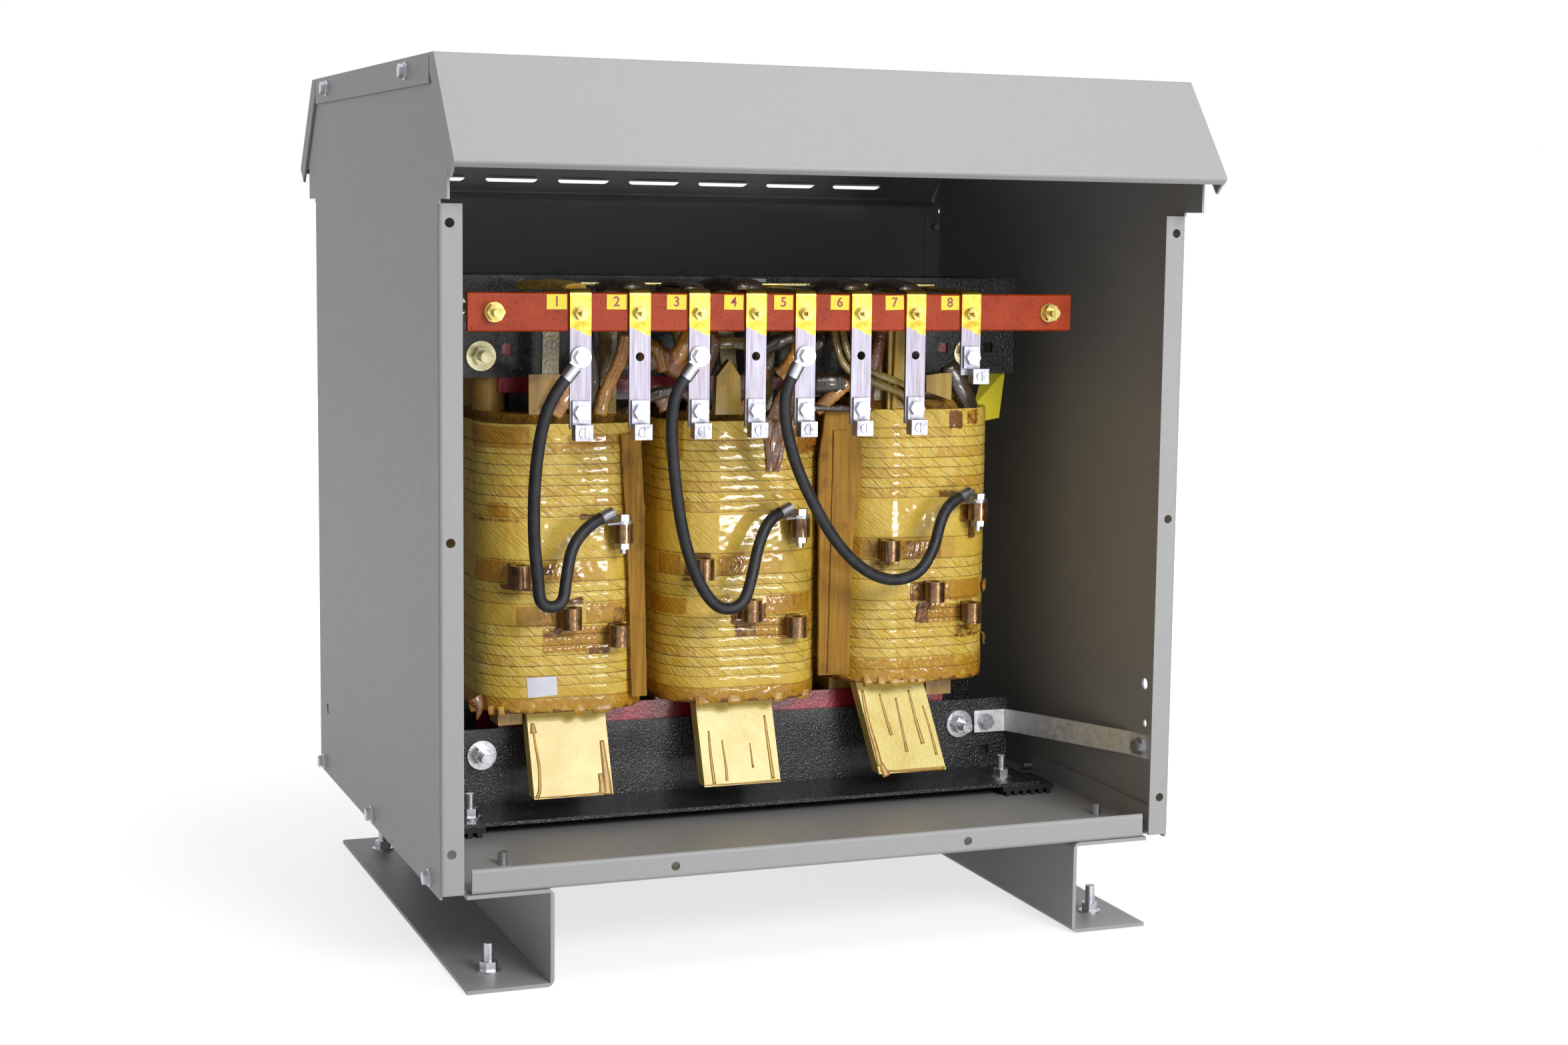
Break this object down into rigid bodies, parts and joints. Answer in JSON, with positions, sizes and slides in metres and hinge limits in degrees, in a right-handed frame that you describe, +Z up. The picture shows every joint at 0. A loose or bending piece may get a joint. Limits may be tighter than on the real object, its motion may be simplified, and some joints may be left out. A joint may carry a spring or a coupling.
{
  "type": "dry type transformer",
  "caption": "Three-coil dry type transformer in a floor-standing vented sheet metal case, front cover off, with terminal bar, straps, tap cables and core clamps in view.",
  "frame": {"origin": "centre of the bounding box on the floor, under the case", "axes": "+X right along the open front, +Y to the back, +Z up"},
  "size_m": [0.6366, 0.6186, 0.705],
  "materials": {
    "case_paint": "grey enamel on folded sheet steel",
    "zinc": "zinc plated steel fasteners",
    "yellow_zinc": "yellow zinc plated washers",
    "core_steel": "varnished silicon steel laminations",
    "clamp_varnish": "black varnished steel",
    "red_board": "crimson insulating board",
    "pad_rubber": "black ribbed rubber",
    "coil_tape": "amber varnished glass tape",
    "pale_board": "pale varnished insulating board",
    "brown_wrap": "brown varnished wrapping",
    "red_bar": "orange-red glass polyester bar",
    "strap_metal": "aluminium strap, varnished golden at the top",
    "tin": "tin plated lugs and bright strap",
    "brass_rod": "varnished neutral rod",
    "cable_jacket": "charcoal cable jacket"
  },
  "bodies": {
    "root": {"anchor_nuts": "zinc", "anchor_studs": "zinc", "back_cover": "case_paint", "bar_nuts": "zinc", "bar_studs": "zinc", "barrier_sticks": "brown_wrap", "box_lugs": "tin", "cable_1": "cable_jacket", "cable_2": "cable_jacket", "cable_3": "cable_jacket", "cable_bolts": "zinc", "cable_lugs": "tin", "case_screws": "zinc", "clamp_nuts": "zinc", "clamp_rods": "zinc", "clamp_washers": "yellow_zinc", "coil_blocks": "pale_board", "coil_left": "coil_tape", "coil_middle": "coil_tape", "coil_posts": "pale_board", "coil_rests": "pale_board", "coil_right": "coil_tape", "connection_nuts": "zinc", "core_laminations": "core_steel", "floor_pan": "case_paint", "foot_joint_bolts": "zinc", "ground_bolts": "zinc", "ground_strap": "tin", "insulation_tab_left": "pale_board", "insulation_tab_middle": "pale_board", "insulation_tab_right": "pale_board", "isolation_pads": "pad_rubber", "left_foot": "case_paint", "left_side_panel": "case_paint", "lower_clamp_back": "clamp_varnish", "lower_clamp_front": "clamp_varnish", "lug_bolts": "zinc", "lug_set_screws": "tin", "neutral_bus": "brass_rod", "pad_bolts": "zinc", "pad_nuts": "zinc", "right_foot": "case_paint", "right_side_panel": "case_paint", "roof_hood": "case_paint", "strap_bolts": "zinc", "strap_nuts": "zinc", "tap_sleeves": "brown_wrap", "terminal_bar": "red_bar", "terminal_strap_1": "strap_metal", "terminal_strap_2": "strap_metal", "terminal_strap_3": "strap_metal", "terminal_strap_4": "strap_metal", "terminal_strap_5": "strap_metal", "terminal_strap_6": "strap_metal", "terminal_strap_7": "strap_metal", "terminal_strap_8": "strap_metal", "upper_clamp_back": "clamp_varnish", "upper_clamp_front": "clamp_varnish", "winding_leads": "brown_wrap", "yoke_barriers": "red_board"}
  },
  "joints": []
}
